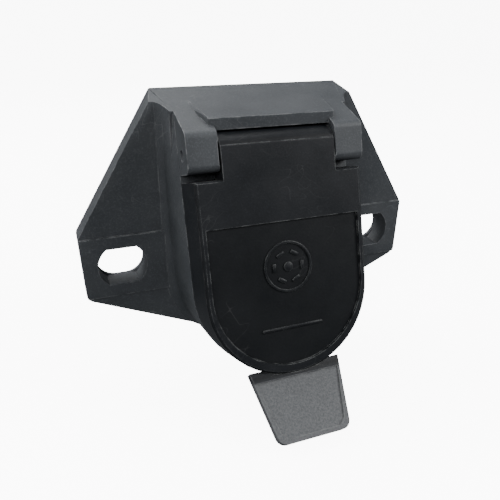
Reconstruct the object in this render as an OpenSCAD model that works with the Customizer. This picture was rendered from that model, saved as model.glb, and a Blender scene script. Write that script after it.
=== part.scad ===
// Vehicle side trailer wiring socket: flange mounted housing, spring closed lid,
// six flat contacts round a centre pin, and a rubber boot over the terminals.
// Frame: X across, +Y towards the vehicle, +Z up. The origin is midway between
// the two mounting slots, on the mounting face (y = 0).

/* [Flange] */
// half width of the flange at its wing tips
wing_x = 66.7; // [60:0.1:75]
// height of the wing's upper corner
wing_top_z = 11.9; // [8:0.1:20]
// height of the wing's lower corner
wing_low_z = -12.3; // [-20:0.1:-8]
// half width of the flange's top edge
crown_x = 36.2; // [30:0.1:45]
// height of the flange's top edge
crown_z = 61.3; // [55:0.1:70]
// height of the point at the bottom of the flange
keel_z = -41.4; // [-50:0.1:-35]
// total depth of the flange
flange_depth = 10.4; // [6:0.1:14]
// how far the raised middle band stands proud
band_proud = 0.7; // [0:0.1:2]
// half height of the raised middle band
band_half = 11.7; // [9:0.1:15]
// corner radius at the ends of the top edge
crown_round = 1.2; // [0.5:0.1:5]
// thickness of the flange's front wall
face_wall = 3.4; // [2:0.1:5]
// thickness of the skirt round the flange
skirt_wall = 2.6; // [2:0.1:4]

/* [Mounting slots] */
// distance between the two slot centres
slot_spacing = 104; // [90:0.1:120]
// height of a slot, between its two flats
slot_width = 14.1; // [8:0.1:16]
// length of a slot, end to end
slot_length = 17.7; // [12:0.1:22]
// depth of the plain lip left at the back of each slot
slot_lip = 1.6; // [0.5:0.1:4]

/* [Socket] */
// downward tilt of the socket's mouth
tilt = 15; // [0:1:30]
// radius at the mouth that takes the plug's collar
entry_r = 23.5; // [22:0.1:25]
// length of that entry
entry_len = 9; // [6:0.1:12]
// radius of the socket behind the entry
bore_r = 22.8; // [21:0.1:24]
// depth from the rim to the face of the contact insert
socket_depth = 24; // [18:0.1:30]
// outer radius of the sealing rim
rim_r = 26; // [25:0.1:27]

/* [Lid] */
// half width of the lid's face
lid_x = 30; // [28:0.1:34]
// height of the lid's shoulders above the socket's axis
shoulder_y = 40.15; // [35:0.05:45]
// depth of the lid from face to parting line
lid_depth = 12; // [9:0.1:15]
// half width of the lid at the parting line
lid_rear_x = 31.6; // [30:0.1:34]
// depth of the recessed panel on the lid's face
panel_deep = 0.9; // [0.3:0.1:2]
// half width of the hinge tongue
tongue_x = 20.4; // [15:0.1:24]
// length of the lift tab
tab_len = 23.8; // [15:0.1:32]
// angle of the lift tab away from the lid's face
tab_angle = 34; // [15:1:60]

/* [Hinge] */
// height of the hinge axis above the socket's axis
hinge_y = 48.85; // [45:0.05:52]
// depth of the hinge axis behind the lid's face
hinge_z = -7; // [-9:0.1:-5]
// radius of the hinge pin
pin_r = 2; // [1.5:0.05:3]
// radius of the lid's knuckle
knuckle_r = 6.9; // [5:0.1:8]
// outer half width across the hinge ears
ear_x = 31.5; // [29:0.1:34]

/* [Contacts] */
// radius of the circle the flat contacts stand on
blade_circle = 13.5; // [11:0.1:15]
// width of a flat contact
blade_w = 6.4; // [5:0.1:8]
// thickness of a flat contact
blade_t = 1.6; // [1:0.1:2]
// free height of the contacts
blade_h = 12; // [8:0.1:15]

/* [Hidden] */
$fn = 64;
mouth = [0, -44.9, -2.85];      // where the socket's axis meets the lid's face
rim_z = -5.3;                   // sealing rim, below the lid's face
part_z = -lid_depth - 0.4;      // front face of the housing round the rim
insert_z = rim_z - socket_depth;
insert_t = 7;
seat_z = insert_z - insert_t;
back_open_r = 17;
collar_z = -12;                 // height of the rear collar's axis
collar_r = 22;
collar_in = 20.3;
collar_end = 7;
boot_out = 24.4;
knuckle_clear = 7.7;
lid_front_t = 2.6;
rear_lift = 1.1;                // the half round sits higher at the parting line
gasket_t = 1.6;
wire_r = 0.6;
coil_r = 3.35;
coil_turns = 6;
coil_half = 5.2;
leg_len = 7.2;
top_slope = (crown_z - 50.6) / 30.4;
flange_pts = [[crown_x, crown_z], [-crown_x, crown_z], [-wing_x, wing_top_z],
    [-wing_x + 0.7, wing_low_z], [0, keel_z], [wing_x - 0.7, wing_low_z],
    [wing_x, wing_top_z]];
contact_a = [60, 120, 180, 240, 300, 0];

function unit(v) = v / norm(v);

// one corner of a closed outline, moved inwards and rounded
function corner(a, p, b, inset, r, n) =
    let (u = unit(a - p), v = unit(b - p), half = acos(u * v) / 2,
         m = unit(u + v), q = p + m * inset / sin(half),
         c = q + m * r / sin(half), t0 = q + u * r / tan(half),
         a0 = atan2(t0[1] - c[1], t0[0] - c[0]), turn = 180 - 2 * half)
    [for (i = [0:n]) c + r * [cos(a0 + turn * i / n), sin(a0 + turn * i / n)]];

function rounded(pts, inset, r, n = 6) =
    [for (i = [0:len(pts) - 1])
        each corner(pts[(i + len(pts) - 1) % len(pts)], pts[i],
            pts[(i + 1) % len(pts)], inset, i < 2 ? min(r, crown_round) : r, n)];

function to_world(y, z) = [mouth[1] + y * sin(tilt) - z * cos(tilt),
    mouth[2] + y * cos(tilt) + z * sin(tilt)];

// the tilted frame of socket and lid: Y up the lid, Z out of the mouth
module in_socket() {
    translate(mouth)
        rotate([90 - tilt, 0, 0])
            children();
}

// a profile drawn in Y and Z, run across X between two values
module across(x0, x1) {
    translate([x0, 0, 0])
        rotate([90, 0, 90])
            linear_extrude(x1 - x0)
                children();
}

// a profile drawn in X and Z, run along Y between two values
module along_y(y0, y1) {
    translate([0, y1, 0])
        rotate([90, 0, 0])
            linear_extrude(y1 - y0)
                children();
}

module flange_outline(inset, r) {
    polygon(rounded(flange_pts, inset, r));
}

// half round below, straight sides above
module u_shape(half, top) {
    circle(half);
    translate([-half, 0])
        square([2 * half, top]);
}

module u_slab(half, top, z, t = 0.1) {
    translate([0, 0, z])
        linear_extrude(t)
            u_shape(half, top, $fn = 48);
}

module slot_shape() {
    end_r = slot_width / 2;
    for (s = [-1, 1])
        translate([s * (slot_length / 2 - end_r), 0])
            circle(end_r);
    square([slot_length - slot_width, slot_width], center = true);
}

// round hole with two flats, as the slot shows at the front
module flatted_hole() {
    intersection() {
        circle(slot_length / 2);
        square([slot_length + 2, slot_width], center = true);
    }
}

// everything above the top face, which falls away forwards from the flange's back edge
module above_top() {
    across(-wing_x, wing_x)
        polygon([[1, crown_z], [0, crown_z], [-20, crown_z - 20 * top_slope], [-20, crown_z + 8],
            [1, crown_z + 8]]);
}

module flange_body() {
    difference() {
        union() {
            along_y(-flange_depth + band_proud, 0)
                flange_outline(0, 3.6);
            along_y(-flange_depth, -1)
                intersection() {
                    flange_outline(0, 3.6);
                    square([2 * wing_x + 2, 2 * band_half], center = true);
                }
        }
        above_top();
    }
}

// pockets that open at the back of each wing
module wing_pockets() {
    for (s = [-1, 1])
        along_y(-flange_depth + band_proud + face_wall, 0.1)
            difference() {
                intersection() {
                    flange_outline(skirt_wall, 2);
                    translate([s * 55.5 - 17, -60])
                        square([34, 120]);
                }
                translate([s * slot_spacing / 2, 0])
                    circle(slot_width / 2 + 4.4);
                translate([s * slot_spacing / 2 - 20, -1.1])
                    square([40, 2.2]);
                translate([s * slot_spacing / 2 - 1.1, -60])
                    square([2.2, 120]);
            }
}

module barrel() {
    hull() {
        along_y(-1.5, 0)
            translate([0, -5.5])
                circle(34.6, $fn = 48);
        along_y(-1, 0)
            polygon([[-34.5, -5], [34.5, -5], [crown_x - 0.1, crown_z], [-crown_x + 0.1, crown_z]]);
        in_socket()
            translate([0, rear_lift, 0])
                u_slab(lid_rear_x, 63.65 - rear_lift, part_z - 0.5, 0.5);
    }
}

// soft swell where the barrel grows out of the flange, in four steps of a hollow curve
module root_swell() {
    steps = [[9, 4.4], [10.3, 3], [11.6, 1.8], [13.4, 0.8], [16.4, 0]];
    difference() {
        intersection() {
            union()
                for (i = [0:3])
                    hull()
                        for (k = [i, i + 1])
                            along_y(-steps[k][0] - 0.05, -steps[k][0])
                                translate([0, -5.5])
                                    u_shape(32.9 + steps[k][1], 66, $fn = 48);
            along_y(-20, 0)
                flange_outline(0.3, 3);
        }
        above_top();
    }
}

module ears() {
    front_low = to_world(42.6, -0.4);
    back_low = to_world(42.6, -16);
    for (s = [-1, 1])
        across(s > 0 ? tongue_x + 0.5 : -ear_x, s > 0 ? ear_x : -tongue_x - 0.5)
            polygon(concat([back_low, [-6, crown_z - 6 * top_slope]],
                corner([-6, crown_z - 6 * top_slope], [-30.5, 50.6], front_low, 0, 3, 6),
                corner([-30.5, 50.6], front_low, back_low, 0, 3, 6)));
}

// low hood over the hinge that also stops the open lid
module hood() {
    hull() {
        across(-22.7, 22.7)
            polygon([[-12, 57], [-12, 53], [-26.4, 50.4], [-26.4, 54.1], [-25.9, 54.6]]);
        across(-22, 22)
            polygon([[-24, 54.9], [-24, 52], [-26.7, 50.3], [-26.7, 54.1]]);
        across(-25, 25)
            polygon([[-8.6, 58.2], [-8.6, 55], [-15, 54], [-15, 55.9]]);
    }
}

// hollow above the socket, open at the back
module crown_pockets() {
    for (s = [-1, 1])
        across(s > 0 ? 1.3 : -29.5, s > 0 ? 29.5 : -1.3)
            polygon([[0.1, 21], [0.1, 57.6], [-13, 53], [-13, 33], [-19, 31], [-19, 21.5]]);
}

module housing_bores() {
    in_socket() {
        translate([0, 0, rim_z - entry_len])
            cylinder(r = entry_r, h = entry_len + 1);
        translate([0, 0, seat_z])
            cylinder(r = bore_r, h = socket_depth + insert_t + 1 - 1);
        translate([0, 0, seat_z - 13])
            cylinder(r = back_open_r, h = 14);
        for (a = [30, 150, 270])
            rotate([0, 0, a])
                translate([19.9, 0, seat_z - 4.3])
                    cylinder(r = 1.3, h = 5);
    }
}

module housing() {
    color([0.17, 0.18, 0.19])
        difference() {
            union() {
                flange_body();
                barrel();
                root_swell();
                ears();
                hood();
                in_socket()
                    translate([0, 0, part_z - 1])
                        cylinder(r = rim_r, h = rim_z - part_z + 1);
                translate([0, collar_end, collar_z])
                    rotate([90, 0, 0])
                        cylinder(r = collar_r, h = collar_end + 3);
            }
            wing_pockets();
            crown_pockets();
            housing_bores();
            // seat for the boot's lip round the rear collar
            translate([0, 0.1, collar_z])
                rotate([90, 0, 0])
                    difference() {
                        cylinder(r = boot_out + 0.5, h = 1.7);
                        translate([0, 0, -1])
                            cylinder(r = collar_r, h = 4);
                    }
            translate([0, collar_end + 1, collar_z])
                rotate([90, 0, 0])
                    cylinder(r = collar_in, h = collar_end + 3);
            // room for the lid's knuckle between the ears
            in_socket()
                translate([-tongue_x - 0.7, hinge_y, hinge_z])
                    rotate([0, 90, 0])
                        cylinder(r = knuckle_clear, h = 2 * tongue_x + 1.4);
            in_socket()
                translate([-ear_x - 1, hinge_y, hinge_z])
                    rotate([0, 90, 0])
                        cylinder(r = pin_r, h = 2 * ear_x + 2);
            for (s = [-1, 1])
                translate([s * slot_spacing / 2, 0, 0]) {
                    along_y(-flange_depth - 1, 1)
                        slot_shape();
                    along_y(-flange_depth - 1, -slot_lip)
                        flatted_hole();
                }
        }
}

module lid_shell() {
    hull() {
        u_slab(lid_x - 0.9, shoulder_y - 0.7, -0.1);
        u_slab(lid_x, shoulder_y, -1);
        translate([0, rear_lift, 0])
            u_slab(lid_rear_x, shoulder_y - rear_lift, -lid_depth);
    }
}

// pull tab under the lid, flared outwards, with a shallow panel on its face
module lift_tab() {
    top_x = 17.3;
    low_x = 13.2;
    translate([0, -28.6, -1.2])
        rotate([-tab_angle, 0, 0])
            difference() {
                translate([0, 0, -3.2])
                    linear_extrude(3.2)
                        polygon(concat([[top_x, 1.5], [-top_x, 1.5]],
                            corner([-top_x, 1.5], [-low_x, -tab_len], [0, -tab_len - 0.9], 0, 3.4, 6),
                            corner([0, -tab_len - 0.9], [low_x, -tab_len], [top_x, 1.5], 0, 3.4, 6)));
                translate([0, 0, -0.5])
                    linear_extrude(1)
                        polygon([[top_x - 1.6, -2.5], [-top_x + 1.6, -2.5], [-low_x + 1.3, -tab_len + 3.6],
                            [-low_x + 3.6, -tab_len + 1.4], [low_x - 3.6, -tab_len + 1.4],
                            [low_x - 1.3, -tab_len + 3.6]]);
            }
}

module tongue() {
    // knuckle round the pin, with a flat front that carries on from the lid
    translate([-tongue_x, hinge_y, hinge_z])
        rotate([0, 90, 0])
            cylinder(r = knuckle_r, h = 2 * tongue_x);
    translate([-tongue_x, shoulder_y - 2, 0])
        rotate([90, 0, 90])
            linear_extrude(2 * tongue_x)
                polygon([[0, 0], [0, -9.5], [hinge_y - shoulder_y + 2, -9.5],
                    [hinge_y - shoulder_y + 6, -4], [hinge_y - shoulder_y + 4.1, -0.15],
                    [hinge_y - shoulder_y + 3.7, 0]]);
}

module lid() {
    inner_x = 27.4;
    color([0.13, 0.14, 0.15])
        in_socket()
            difference() {
                union() {
                    difference() {
                        lid_shell();
                        // hollow inside the lid
                        translate([0, 0, -lid_depth - 1])
                            linear_extrude(lid_depth + 1 - lid_front_t - panel_deep)
                                u_shape(inner_x, shoulder_y - 2.7);
                        // shallow panel on the face
                        translate([0, 1.6, -panel_deep])
                            linear_extrude(2)
                                intersection() {
                                    u_shape(27.9, 22.75);
                                    translate([-30, -30])
                                        square([60, 52.75]);
                                }
                    }
                    tongue();
                    difference() {
                        lift_tab();
                        translate([0, 0, -lid_depth - 1])
                            cylinder(r = inner_x, h = lid_depth + 1 - lid_front_t - panel_deep);
                        translate([0, 1.6, -panel_deep])
                            cylinder(r = 27.9, h = 4);
                    }
                    // catch that holds a plug in
                    translate([-5, 29.2, -8.5])
                        cube([10, 2.2, 6]);
                }
                // room for the spring behind the tongue's front wall
                translate([-8.2, hinge_y - 9.4, hinge_z - 8])
                    cube([16.4, 13.7, 12.3]);
                translate([-tongue_x - 1, hinge_y, hinge_z])
                    rotate([0, 90, 0])
                        cylinder(r = pin_r + 0.05, h = 2 * tongue_x + 2);
            }
}

module hinge_pin() {
    color([0.75, 0.75, 0.77])
        in_socket()
            translate([-ear_x + 1, hinge_y, hinge_z])
                rotate([0, 90, 0])
                    cylinder(r = pin_r, h = 2 * ear_x - 2);
}

// centre line of the spring: a leg, the coil, and a second leg
coil_steps = coil_turns * 12;
coil_path = concat(
    [[-coil_half, -leg_len, coil_r]],
    [for (i = [0:coil_steps])
        let (a = 180 + i * 360 * (coil_turns + 0.5) / coil_steps)
        [-coil_half + 2 * coil_half * i / coil_steps, coil_r * sin(a), -coil_r * cos(a)]],
    [[coil_half, -leg_len, -coil_r]]);

function ring(path, i) =
    let (n = len(path), d = unit(path[min(i + 1, n - 1)] - path[max(i - 1, 0)]),
         u = unit(cross(d, [1, 0, 0])), v = cross(d, u))
    [for (k = [0:7]) path[i] + wire_r * (cos(45 * k) * u + sin(45 * k) * v)];

module lid_spring() {
    n = len(coil_path);
    color([0.75, 0.75, 0.77])
        in_socket()
            translate([0, hinge_y, hinge_z])
                polyhedron(
                    points = [for (i = [0:n - 1]) each ring(coil_path, i)],
                    faces = concat(
                        [[for (k = [0:7]) k]],
                        [for (i = [0:n - 2], k = [0:7])
                            [8 * i + k, 8 * (i + 1) + k, 8 * (i + 1) + (k + 1) % 8, 8 * i + (k + 1) % 8]],
                        [[for (k = [7:-1:0]) 8 * (n - 1) + k]]));
}

module ring_solid(r_out, r_in, z, t) {
    translate([0, 0, z])
        difference() {
            cylinder(r = r_out, h = t);
            translate([0, 0, -1])
                cylinder(r = r_in, h = t + 2);
        }
}

module lid_gasket() {
    color([0.2, 0.2, 0.2])
        in_socket()
            ring_solid(26.6, 22.2, -panel_deep - lid_front_t - gasket_t, gasket_t);
}

module contact_insert() {
    color([0.2, 0.21, 0.22])
        in_socket()
            difference() {
                union() {
                    translate([0, 0, seat_z + 1.5])
                        cylinder(r = bore_r - 0.1, h = insert_t - 1.5);
                    translate([0, 0, seat_z])
                        cylinder(r = 20.2, h = 2);
                    translate([0, 0, seat_z - 2])
                        cylinder(r = back_open_r - 0.2, h = 3);
                    // raised collars the contacts stand in
                    translate([0, 0, insert_z - 1])
                        cylinder(r = 5.5, h = 3);
                }
                for (a = contact_a)
                    rotate([0, 0, a])
                        translate([blade_circle - blade_t / 2, -blade_w / 2, seat_z - 3])
                            cube([blade_t, blade_w, insert_t + 5]);
                translate([0, 0, seat_z - 3])
                    cylinder(r = 2.5, h = insert_t + 8);
                for (a = [30, 150, 270])
                    rotate([0, 0, a])
                        translate([19.9, 0, seat_z - 1]) {
                            cylinder(r = 1.6, h = insert_t + 2);
                            translate([0, 0, insert_t - 1])
                                cylinder(r = 2.7, h = 4);
                        }
            }
}

module insert_seal() {
    color([0.1, 0.1, 0.1])
        in_socket()
            translate([0, 0, seat_z])
                difference() {
                    cylinder(r = bore_r, h = 1.5);
                    translate([0, 0, -1])
                        cylinder(r = 20.2, h = 4);
                    for (a = [30, 150, 270])
                        rotate([0, 0, a])
                            translate([19.9, 0, -1])
                                cylinder(r = 1.6, h = 4);
                }
}

module insert_screws() {
    color([0.75, 0.75, 0.77])
        in_socket()
            for (a = [30, 150, 270])
                rotate([0, 0, a])
                    translate([19.9, 0, 0])
                        difference() {
                            union() {
                                translate([0, 0, seat_z - 4])
                                    cylinder(r = 1.3, h = insert_t + 4);
                                translate([0, 0, insert_z - 2])
                                    cylinder(r = 2.5, h = 1.6);
                            }
                            translate([-0.4, -1.5, insert_z - 1.1])
                                cube([0.8, 3, 2]);
                            translate([-1.5, -0.4, insert_z - 1.1])
                                cube([3, 0.8, 2]);
                        }
}

module centre_pin() {
    color([0.85, 0.68, 0.38])
        in_socket()
            difference() {
                union() {
                    translate([0, 0, seat_z - 9])
                        cylinder(r = 2.5, h = insert_t + 9 + blade_h - 2.4);
                    translate([0, 0, insert_z + blade_h - 2.5])
                        cylinder(r1 = 2.5, r2 = 1.3, h = 1.6);
                }
                translate([-4, 0, seat_z - 6])
                    rotate([0, 90, 0])
                        cylinder(r = 1.25, h = 8);
            }
}

// a flat contact: spring blade in front, screw terminal tail behind
module blade(a) {
    color([0.85, 0.68, 0.38])
        in_socket()
            rotate([0, 0, a])
                difference() {
                    translate([blade_circle - blade_t / 2, 0, 0])
                        rotate([90, 0, 90])
                            linear_extrude(blade_t)
                                polygon([[-blade_w / 2, seat_z - 9], [blade_w / 2, seat_z - 9],
                                    [blade_w / 2, insert_z + blade_h - 1.2],
                                    [blade_w / 2 - 1.2, insert_z + blade_h],
                                    [-blade_w / 2 + 1.2, insert_z + blade_h],
                                    [-blade_w / 2, insert_z + blade_h - 1.2]]);
                    translate([blade_circle - 3, 0, seat_z - 6])
                        rotate([0, 90, 0])
                            cylinder(r = 1.25, h = 6);
                }
}

module tail_blade() {
    blade(contact_a[0]);
}

module brake_blade() {
    blade(contact_a[1]);
}

module ground_blade() {
    blade(contact_a[2]);
}

module left_turn_blade() {
    blade(contact_a[3]);
}

module right_turn_blade() {
    blade(contact_a[4]);
}

module battery_blade() {
    blade(contact_a[5]);
}

// screws that run inwards through each contact's tail
module terminal_screws() {
    color([0.75, 0.75, 0.77])
        in_socket()
            for (a = contact_a)
                rotate([0, 0, a])
                    translate([0, 0, seat_z - 6])
                        rotate([0, 90, 0])
                            difference() {
                                union() {
                                    translate([0, 0, blade_circle - 4.4])
                                        cylinder(r = 1.25, h = 5.5);
                                    translate([0, 0, blade_circle + blade_t / 2])
                                        cylinder(r = 2.4, h = 1.7);
                                }
                                translate([-0.4, -3, blade_circle + blade_t / 2 + 0.9])
                                    cube([0.8, 6, 2]);
                            }
}

// small square plates that the terminal screws draw up against the tails
module wire_clamps() {
    color([0.85, 0.68, 0.38])
        in_socket()
            for (a = contact_a)
                rotate([0, 0, a])
                    difference() {
                        translate([blade_circle - blade_t / 2 - 3.4, -2.6, seat_z - 8.6])
                            cube([2, 5.2, 5.2]);
                        translate([blade_circle - 6, 0, seat_z - 6])
                            rotate([0, 90, 0])
                                cylinder(r = 1.25, h = 6);
                    }
}

module rear_boot() {
    tail_r = 9;
    hole_r = 5.5;
    end_y = 27;
    color([0.12, 0.12, 0.12])
        translate([0, 0, collar_z])
            rotate([-90, 0, 0])
                rotate_extrude()
                    polygon([[collar_r, -1.4], [boot_out, -1.4], [boot_out, 9.5], [tail_r + 4, 19],
                        [tail_r, 20.5], [tail_r, end_y], [hole_r, end_y], [hole_r, 18.5],
                        [tail_r + 2, 17], [collar_in - 0.4, 9.8], [collar_in - 0.4, collar_end],
                        [collar_r, collar_end]]);
}

module boot_clamp() {
    color([0.75, 0.75, 0.77])
        translate([0, 0, collar_z])
            rotate([-90, 0, 0])
                difference() {
                    union() {
                        translate([0, 0, 2.6])
                            cylinder(r = boot_out + 0.8, h = 4);
                        translate([-5, -boot_out - 4.2, 2.6])
                            cube([10, 5, 4]);
                    }
                    translate([0, 0, 1])
                        cylinder(r = boot_out, h = 8);
                    translate([-1, -boot_out - 5, 1])
                        cube([2, 8, 8]);
                    translate([-6, -boot_out - 2.4, 4.6])
                        rotate([0, 90, 0])
                            cylinder(r = 1.1, h = 12);
                }
}

module clamp_screw() {
    color([0.75, 0.75, 0.77])
        translate([0, 4.6, collar_z + boot_out + 2.4])
            rotate([0, 90, 0])
                union() {
                    translate([0, 0, -7])
                        cylinder(r = 1.1, h = 14);
                    translate([0, 0, 5.01])
                        cylinder(r = 1.9, h = 2);
                }
}

housing();
lid();
hinge_pin();
lid_spring();
lid_gasket();
contact_insert();
insert_seal();
insert_screws();
centre_pin();
tail_blade();
brake_blade();
ground_blade();
left_turn_blade();
right_turn_blade();
battery_blade();
terminal_screws();
wire_clamps();
rear_boot();
boot_clamp();
clamp_screw();
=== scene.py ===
"""Looks of the trailer wiring socket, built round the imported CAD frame."""

import math

import bmesh
import bpy
from mathutils import Matrix, Vector


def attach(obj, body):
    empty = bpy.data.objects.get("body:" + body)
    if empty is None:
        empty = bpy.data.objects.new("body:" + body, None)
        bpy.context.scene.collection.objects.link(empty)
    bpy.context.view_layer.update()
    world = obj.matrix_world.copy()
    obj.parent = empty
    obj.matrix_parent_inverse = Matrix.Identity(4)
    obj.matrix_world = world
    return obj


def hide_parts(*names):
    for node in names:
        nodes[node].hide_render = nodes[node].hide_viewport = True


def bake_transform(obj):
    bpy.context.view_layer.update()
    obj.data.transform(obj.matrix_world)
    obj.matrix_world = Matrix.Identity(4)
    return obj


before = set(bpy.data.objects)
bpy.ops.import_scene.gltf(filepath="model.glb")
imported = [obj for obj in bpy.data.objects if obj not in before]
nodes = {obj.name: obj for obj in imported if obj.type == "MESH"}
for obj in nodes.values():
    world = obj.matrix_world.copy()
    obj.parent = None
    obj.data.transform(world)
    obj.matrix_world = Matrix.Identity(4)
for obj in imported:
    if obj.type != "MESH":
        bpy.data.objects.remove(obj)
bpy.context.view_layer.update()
MM = 0.001

# tilted frame of the socket and the lid: Y up the lid, Z out of the mouth (millimetres)
MOUTH_Y, MOUTH_Z = -44.9, -2.85
TILT = math.radians(75)
SOCKET = Matrix.Translation((0, MOUTH_Y * MM, MOUTH_Z * MM)) @ Matrix.Rotation(TILT, 4, "X")
HINGE_Y, HINGE_Z = 48.85, -7.0

# levels on the lid, in that frame
PANEL_FLOOR = -0.9      # floor of the recessed panel
TAB_ROOT = -30.7        # where the lift tab starts

# scratch pattern: how far it is drawn out, and how it is turned, in two directions
SCRATCH_LENGTH = 90
SCRATCHES = (
    (300, (0, 0.5, 0.4), 38),
    (260, (0, -0.7, -0.5), 47),
)

FLOOR_Z = -0.0516       # just under the lift tab, the lowest point
TUBE_SIDES = 14
TURN_STEPS = 28


# ---------------------------------------------------------------- camera
def make_camera():
    data = bpy.data.cameras.new("camera")
    data.lens = 38.36
    data.sensor_width = 36
    cam = bpy.data.objects.new("camera", data)
    bpy.context.scene.collection.objects.link(cam)
    cam.location = (-0.07062, -0.19275, 0.08336)
    azimuth, elevation = math.radians(-20.56), math.radians(23.47)
    ahead = Vector((-math.sin(azimuth) * math.cos(elevation),
                    math.cos(azimuth) * math.cos(elevation), -math.sin(elevation)))
    cam.rotation_mode = "QUATERNION"
    cam.rotation_quaternion = ahead.to_track_quat("-Z", "Y")
    data.clip_start, data.clip_end = 0.01, 20
    bpy.context.scene.camera = cam


# ---------------------------------------------------------------- materials
class Shader:
    """Small helper that wires up a procedural material."""

    def __init__(self, name):
        self.mat = bpy.data.materials.new(name)
        self.mat.use_nodes = True
        self.tree = self.mat.node_tree
        self.bsdf = self.tree.nodes["Principled BSDF"]
        self.place = self.add("ShaderNodeTexCoord").outputs["Object"]

    def add(self, kind, **props):
        n = self.tree.nodes.new(kind)
        for k, v in props.items():
            setattr(n, k, v)
        return n

    def link(self, a, b):
        self.tree.links.new(a, b)

    def noise(self, scale, detail=2.0, rough=0.5, stretch=None, turn=None):
        n = self.add("ShaderNodeTexNoise")
        n.inputs["Scale"].default_value = scale
        n.inputs["Detail"].default_value = detail
        n.inputs["Roughness"].default_value = rough
        if stretch:
            # a turned pattern is turned first and stretched along its own first axis
            m = self.add("ShaderNodeMapping", vector_type="TEXTURE" if turn else "POINT")
            m.inputs["Scale"].default_value = stretch
            if turn:
                m.inputs["Rotation"].default_value = turn
            self.link(self.place, m.inputs["Vector"])
            self.link(m.outputs["Vector"], n.inputs["Vector"])
        else:
            self.link(self.place, n.inputs["Vector"])
        return n.outputs["Fac"]

    def remap(self, value, lo, hi, out_lo=0.0, out_hi=1.0):
        n = self.add("ShaderNodeMapRange")
        for i, v in enumerate((lo, hi, out_lo, out_hi)):
            n.inputs[i + 1].default_value = v
        self.link(value, n.inputs[0])
        return n.outputs[0]

    def math(self, op, a, b=0.0):
        n = self.add("ShaderNodeMath", operation=op)
        for i, v in enumerate((a, b)):
            if isinstance(v, (int, float)):
                n.inputs[i].default_value = v
            else:
                self.link(v, n.inputs[i])
        return n.outputs[0]

    def mix(self, fac, a, b):
        n = self.add("ShaderNodeMix", data_type="RGBA")
        self.link(fac, n.inputs["Factor"])
        for key, v in (("A", a), ("B", b)):
            sock = [s for s in n.inputs if s.name == key and s.type == "RGBA"][0]
            if isinstance(v, tuple):
                sock.default_value = (*v, 1)
            else:
                self.link(v, sock)
        return [s for s in n.outputs if s.type == "RGBA"][0]

    def along_lid(self):
        """Heights measured up the lid and out of its face, in millimetres."""
        xyz = self.add("ShaderNodeSeparateXYZ")
        self.link(self.place, xyz.inputs[0])
        y = self.math("SUBTRACT", self.math("MULTIPLY", xyz.outputs[1], 1 / MM), MOUTH_Y)
        z = self.math("SUBTRACT", self.math("MULTIPLY", xyz.outputs[2], 1 / MM), MOUTH_Z)
        c, t = math.cos(TILT), math.sin(TILT)
        up = self.math("ADD", self.math("MULTIPLY", y, c), self.math("MULTIPLY", z, t))
        out = self.math("SUBTRACT", self.math("MULTIPLY", z, c), self.math("MULTIPLY", y, t))
        return up, out

    def hairlines(self, scale, turn, patch_scale):
        """A few long thin scratches, only where a slow noise lets them show."""
        n = self.noise(scale, 0, 0.5, (SCRATCH_LENGTH, 1, 1), turn)
        off_middle = self.math("ABSOLUTE", self.math("SUBTRACT", n, 0.5))
        line = self.remap(off_middle, 0.0, 0.011, 1.0, 0.0)
        where = self.noise(patch_scale, 1, 0.5)
        return self.math("MULTIPLY", line, self.remap(where, 0.6, 0.66))

    def edges(self, radius):
        """1 along convex edges, 0 on the flats: the mask for rubbed edges and a painted edge highlight.
        """
        b = self.add("ShaderNodeBevel", samples=6)
        b.inputs["Radius"].default_value = radius
        g = self.add("ShaderNodeNewGeometry")
        d = self.add("ShaderNodeVectorMath", operation="DOT_PRODUCT")
        self.link(b.outputs["Normal"], d.inputs[0])
        self.link(g.outputs["Normal"], d.inputs[1])
        return self.remap(d.outputs["Value"], 0.995, 0.86)

    def bump(self, height, distance, strength=1.0):
        n = self.add("ShaderNodeBump")
        n.inputs["Distance"].default_value = distance
        n.inputs["Strength"].default_value = strength
        self.link(height, n.inputs["Height"])
        self.link(n.outputs["Normal"], self.bsdf.inputs["Normal"])


def paint_lid(s, color):
    """Darker recessed panel and a coarser tab painted lighter, a painted highlight where the tab faces
    up; returns the colour and where the tab is.
    """
    up, out = s.along_lid()
    above = s.remap(out, PANEL_FLOOR - 0.3, PANEL_FLOOR - 0.1)
    below = s.remap(out, PANEL_FLOOR + 0.3, PANEL_FLOOR + 0.5, 1.0, 0.0)
    panel = s.math("MULTIPLY", above, below)
    color = s.mix(s.math("MULTIPLY", panel, 0.55), color, (0.0035, 0.004, 0.0045))
    tab = s.remap(up, TAB_ROOT + 0.5, TAB_ROOT - 0.5)
    coarse = s.remap(s.noise(1500, 3, 0.7), 0.35, 0.65)
    # the tab's lighter grey is painted light where it faces up towards the lamps; the coarse mix
    # between the two greys is its grain
    tab_painted_light = s.mix(coarse, (0.064, 0.067, 0.07), (0.106, 0.109, 0.113))
    return s.mix(tab, color, tab_painted_light), tab


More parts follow.
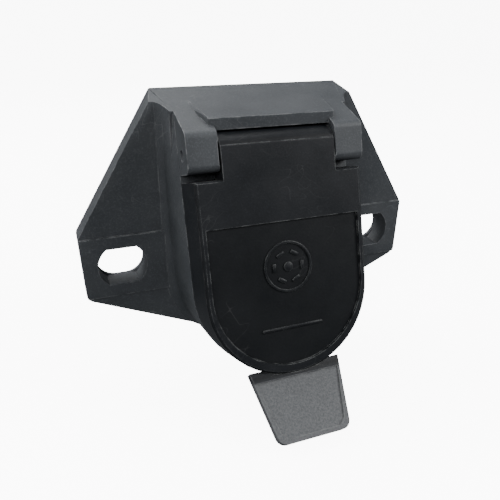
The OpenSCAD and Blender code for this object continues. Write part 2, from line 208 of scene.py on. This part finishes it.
def plastic(name, dark, light, rough, grain, wear_and_highlight, worn_and_highlight, spec=0.4, scratched=0.25, is_lid=False):
    """Black moulded plastic: spark-eroded grain, faint cloudiness, rubbed edges lightened partly as a
    painted highlight, hairline scratches.
    """
    s = Shader(name)
    cloud = s.noise(55, 4, 0.6)
    speck = s.noise(1900, 3, 0.65)
    fine = s.noise(5200, 1, 0.5)
    color = s.mix(s.remap(cloud, 0.35, 0.7), dark, light)
    speckle = s.math("MULTIPLY", s.remap(speck, 0.5, 0.7), 0.4)
    color = s.mix(speckle, color, tuple(2.0 * v for v in light))
    roughness = s.remap(cloud, 0.3, 0.75, rough - 0.05, rough + 0.06)
    if is_lid:
        color, tab = paint_lid(s, color)
        roughness = s.math("ADD", roughness, s.math("MULTIPLY", tab, 0.08))
    patches = s.remap(s.noise(240, 3, 0.65), 0.42, 0.6)
    # edges lightened in the base colour: partly rubbed wear, partly a painted highlight where they
    # catch the light
    edge_wear_and_highlight = s.math("MULTIPLY", s.math("MULTIPLY", s.edges(0.0006), patches), wear_and_highlight)
    first, second = (s.hairlines(*row) for row in SCRATCHES)
    lines = s.math("MULTIPLY", s.math("MAXIMUM", first, second), scratched)
    color = s.mix(s.math("MINIMUM", s.math("ADD", edge_wear_and_highlight, lines), 1.0), color, worn_and_highlight)
    s.link(color, s.bsdf.inputs["Base Color"])
    polished = s.math("SUBTRACT", roughness, s.math("MULTIPLY", edge_wear_and_highlight, 0.12))
    s.link(polished, s.bsdf.inputs["Roughness"])
    s.bsdf.inputs["Specular IOR Level"].default_value = spec
    height = s.math("ADD", s.math("MULTIPLY", speck, 0.7), s.math("MULTIPLY", fine, 0.3))
    height = s.math("SUBTRACT", height, s.math("MULTIPLY", lines, 0.6))
    s.bump(height, 0.00009 * grain, 0.7)
    return s.mat


def rubber(name):
    s = Shader(name)
    cloud = s.noise(90, 4, 0.6)
    fine = s.noise(3200, 2, 0.6)
    color = s.mix(s.remap(cloud, 0.35, 0.7), (0.012, 0.012, 0.013), (0.03, 0.03, 0.031))
    s.link(color, s.bsdf.inputs["Base Color"])
    s.link(s.remap(cloud, 0.3, 0.7, 0.72, 0.88), s.bsdf.inputs["Roughness"])
    s.bump(fine, 0.00004, 0.7)
    return s.mat


def metal(name, base, tint, rough, grain_dir):
    """Rolled or drawn metal with fine lines one way and a patchy, handled surface."""
    s = Shader(name)
    cloud = s.noise(260, 4, 0.6)
    lines = s.noise(2400, 2, 0.6, grain_dir)
    s.link(s.mix(s.remap(cloud, 0.35, 0.7), base, tint), s.bsdf.inputs["Base Color"])
    s.bsdf.inputs["Metallic"].default_value = 1.0
    s.link(s.math("ADD", s.remap(cloud, 0.3, 0.7, rough - 0.06, rough + 0.08),
                  s.remap(lines, 0.3, 0.7, -0.04, 0.06)), s.bsdf.inputs["Roughness"])
    s.bump(lines, 0.00001, 0.5)
    return s.mat


def dress(obj, mat):
    obj.data.materials.clear()
    obj.data.materials.append(mat)
    for p in obj.data.polygons:
        p.material_index = 0


# ---------------------------------------------------------------- mesh helpers
def smooth(obj):
    for p in obj.data.polygons:
        p.use_smooth = True


def soften(obj, width, segments=3, angle=28):
    """Real rounded edges on a CAD node: join split corners, bevel, even the shading."""
    smooth(obj)
    weld = obj.modifiers.new("weld", "WELD")
    weld.merge_threshold = 1e-6
    b = obj.modifiers.new("edges", "BEVEL")
    b.width = width
    b.segments = segments
    b.limit_method = "ANGLE"
    b.angle_limit = math.radians(angle)
    b.use_clamp_overlap = True
    b.harden_normals = True
    b.miter_outer = "MITER_ARC"
    n = obj.modifiers.new("shade", "WEIGHTED_NORMAL")
    n.keep_sharp = True


def new_object(name, bm, mat):
    """Turns a mesh drawn in the tilted frame into a smooth object in the world's frame."""
    me = bpy.data.meshes.new(name)
    bmesh.ops.recalc_face_normals(bm, faces=bm.faces)
    bm.to_mesh(me)
    bm.free()
    me.transform(SOCKET)
    o = bpy.data.objects.new(name, me)
    bpy.context.scene.collection.objects.link(o)
    me.materials.append(mat)
    smooth(o)
    return o


def circle(cx, cy, r, n):
    return [(cx + r * math.cos(2 * math.pi * i / n), cy + r * math.sin(2 * math.pi * i / n))
            for i in range(n)]


def join_rings(bm, a, b):
    n = len(a)
    for i in range(n):
        bm.faces.new((a[i], a[(i + 1) % n], b[(i + 1) % n], b[i]))


def raised(bm, outline, base, height, inset=0.12):
    """A low raised island with sloped sides, from a closed outline in millimetres."""
    c = Vector((sum(p[0] for p in outline) / len(outline), sum(p[1] for p in outline) / len(outline)))
    rings = []
    for z, k in ((base - 0.2, 0), (base + height - 0.1, 0), (base + height, inset)):
        ring = []
        for p in outline:
            v = Vector(p)
            d = v - c
            v = v - d.normalized() * k if d.length > 0 else v
            ring.append(bm.verts.new((v.x * MM, v.y * MM, z * MM)))
        rings.append(ring)
    for a, b in zip(rings, rings[1:]):
        join_rings(bm, a, b)
    bm.faces.new(rings[-1])
    bm.faces.new(list(reversed(rings[0])))


def raised_ring(bm, cx, cy, r_out, r_in, base, height, n=72):
    profile = [(r_in, base - 0.2), (r_in, base + height - 0.1), (r_in + 0.12, base + height),
               (r_out - 0.12, base + height), (r_out, base + height - 0.1), (r_out, base - 0.2)]
    rings = []
    for r, z in profile:
        rings.append([bm.verts.new((x * MM, y * MM, z * MM)) for x, y in circle(cx, cy, r, n)])
    for a, b in zip(rings, rings[1:] + rings[:1]):
        join_rings(bm, a, b)


def make_pictogram(mat):
    """Generic raised outline of a round seven-contact face, and a plain bar under it."""
    bm = bmesh.new()
    base, height, cy = PANEL_FLOOR, 0.45, 8.5
    raised_ring(bm, 0, cy, 9.0, 8.0, base, height)
    raised(bm, circle(0, cy, 1.7, 28), base, height)
    for k in range(6):
        a = math.radians(60 * k)
        turned = []
        for u, v in ((4.6, -1.5), (5.8, -1.5), (5.8, 1.5), (4.6, 1.5)):
            turned.append((u * math.cos(a) - v * math.sin(a), cy + u * math.sin(a) + v * math.cos(a)))
        raised(bm, turned, base, height)
    bar = [(-11, -13.6), (11, -13.6), (11.6, -13), (11, -12.4), (-11, -12.4), (-11.6, -13)]
    raised(bm, bar, base, height)
    o = new_object("lid_pictogram", bm, mat)
    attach(o, "cover")


def make_spring(mat):
    """Round-wire torsion spring: its front leg lies on the lid, its back leg on the socket."""
    r, half, wire, turns = 3.35, 5.2, 0.6, 6.5
    line = [Vector((-half, -7.2, r)), Vector((-half, -3.6, r))]
    steps = int(turns * TURN_STEPS)
    for i in range(steps + 1):
        a = 2 * math.pi * turns * i / steps
        line.append(Vector((-half + 2 * half * i / steps, r * math.sin(a), r * math.cos(a))))
    line += [Vector((half, -3.6, -r)), Vector((half, -7.2, -r))]
    bm = bmesh.new()
    side, rings = Vector((1, 0, 0)), []
    for i, p in enumerate(line):
        ahead = (line[min(i + 1, len(line) - 1)] - line[max(i - 1, 0)]).normalized()
        side = (side - ahead * side.dot(ahead)).normalized()
        other = ahead.cross(side)
        ring = []
        for u, w in circle(0, 0, wire, TUBE_SIDES):
            v = p + side * u + other * w
            ring.append(bm.verts.new((v.x * MM, (v.y + HINGE_Y) * MM, (v.z + HINGE_Z) * MM)))
        rings.append(ring)
    for a, b in zip(rings, rings[1:]):
        join_rings(bm, a, b)
    bm.faces.new(list(reversed(rings[0])))
    bm.faces.new(rings[-1])
    o = new_object("spring_coil", bm, mat)
    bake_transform(o)
    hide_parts("lid_spring")


# ---------------------------------------------------------------- stage
def make_stage():
    bm = bmesh.new()
    profile = [(-4, FLOOR_Z), (1.1, FLOOR_Z)]
    for i in range(1, 13):
        a = math.radians(90 * i / 12)
        profile.append((1.1 + 1.0 * math.sin(a), FLOOR_Z + 1.0 * (1 - math.cos(a))))
    profile.append((2.1, 4.0))
    rows = [[bm.verts.new((x, y, z)) for y, z in profile] for x in (-5, 5)]
    for i in range(len(profile) - 1):
        bm.faces.new((rows[0][i], rows[1][i], rows[1][i + 1], rows[0][i + 1]))
    me = bpy.data.meshes.new("backdrop")
    bm.to_mesh(me)
    bm.free()
    o = bpy.data.objects.new("backdrop", me)
    bpy.context.scene.collection.objects.link(o)
    mat = bpy.data.materials.new("backdrop")
    mat.use_nodes = True
    b = mat.node_tree.nodes["Principled BSDF"]
    b.inputs["Base Color"].default_value = (0.86, 0.86, 0.86, 1)
    b.inputs["Roughness"].default_value = 0.9
    b.inputs["Emission Color"].default_value = (1, 1, 1, 1)
    b.inputs["Emission Strength"].default_value = 9.0
    me.materials.append(mat)
    for p in me.polygons:
        p.use_smooth = True
    # the sweep stays out of the light that reaches the socket, so its black front keeps its depth
    o.visible_diffuse = False
    o.visible_glossy = False


def area(name, where, at, size, watts, tint=(1, 1, 1)):
    data = bpy.data.lights.new(name, "AREA")
    data.shape = "RECTANGLE"
    data.size, data.size_y = size
    data.energy = watts
    data.color = tint
    o = bpy.data.objects.new(name, data)
    bpy.context.scene.collection.objects.link(o)
    o.location = where
    o.rotation_euler = (Vector(at) - Vector(where)).to_track_quat("-Z", "Y").to_euler()


def make_lights():
    world = bpy.data.worlds.new("world")
    bpy.context.scene.world = world
    world.use_nodes = True
    world.node_tree.nodes["Background"].inputs["Color"].default_value = (0.9, 0.95, 1, 1)
    world.node_tree.nodes["Background"].inputs["Strength"].default_value = 0.2
    area("top_key", (-0.15, 0.3, 0.9), (0, -0.02, 0), (0.8, 0.8), 10)
    area("left_rim", (-0.75, 0.3, 0.6), (-0.04, 0, 0.03), (0.4, 0.4), 5)
    area("right_fill", (0.85, -0.55, 0.6), (0, -0.03, 0), (0.4, 0.5), 12)
    area("left_fill", (-0.62, -0.8, 0.62), (0, 0, 0), (0.6, 0.6), 9)


make_camera()
make_stage()
make_lights()

housing_mat = plastic("housing_plastic", (0.032, 0.0355, 0.0395), (0.048, 0.052, 0.0565),
                      rough=0.52, grain=1.1, wear_and_highlight=0.9, worn_and_highlight=(0.2, 0.205, 0.21))
lid_mat = plastic("lid_plastic", (0.006, 0.007, 0.0085), (0.0105, 0.0115, 0.0135),
                  rough=0.46, grain=0.9, wear_and_highlight=0.7, worn_and_highlight=(0.16, 0.165, 0.165),
                  spec=0.24, scratched=0.12, is_lid=True)
insert_mat = plastic("insert_plastic", (0.018, 0.019, 0.02), (0.03, 0.031, 0.032),
                     rough=0.55, grain=0.8, wear_and_highlight=0.1, worn_and_highlight=(0.16, 0.165, 0.165))
rubber_mat = rubber("soft_rubber")
steel_mat = metal("zinc_steel", (0.55, 0.56, 0.58), (0.42, 0.42, 0.43), 0.36, (0.1, 1, 1))
spring_mat = metal("spring_wire", (0.5, 0.5, 0.52), (0.36, 0.36, 0.37), 0.3, (1, 0.1, 0.1))
brass_mat = metal("brass", (0.78, 0.55, 0.24), (0.62, 0.4, 0.16), 0.34, (1, 1, 0.1))

looks = {"housing": housing_mat, "lid": lid_mat, "contact_insert": insert_mat,
         "lid_gasket": rubber_mat, "insert_seal": rubber_mat, "rear_boot": rubber_mat,
         "hinge_pin": steel_mat, "insert_screws": steel_mat, "terminal_screws": steel_mat,
         "boot_clamp": steel_mat, "clamp_screw": steel_mat, "lid_spring": spring_mat,
         "wire_clamps": brass_mat, "centre_pin": brass_mat, "tail_blade": brass_mat,
         "brake_blade": brass_mat, "ground_blade": brass_mat, "left_turn_blade": brass_mat,
         "right_turn_blade": brass_mat, "battery_blade": brass_mat}
for name, mat in looks.items():
    dress(nodes[name], mat)

soften(nodes["housing"], 0.55 * MM)
soften(nodes["lid"], 0.5 * MM)
for name in ("contact_insert", "rear_boot", "boot_clamp"):
    soften(nodes[name], 0.25 * MM, 2)

make_pictogram(lid_mat)
make_spring(spring_mat)
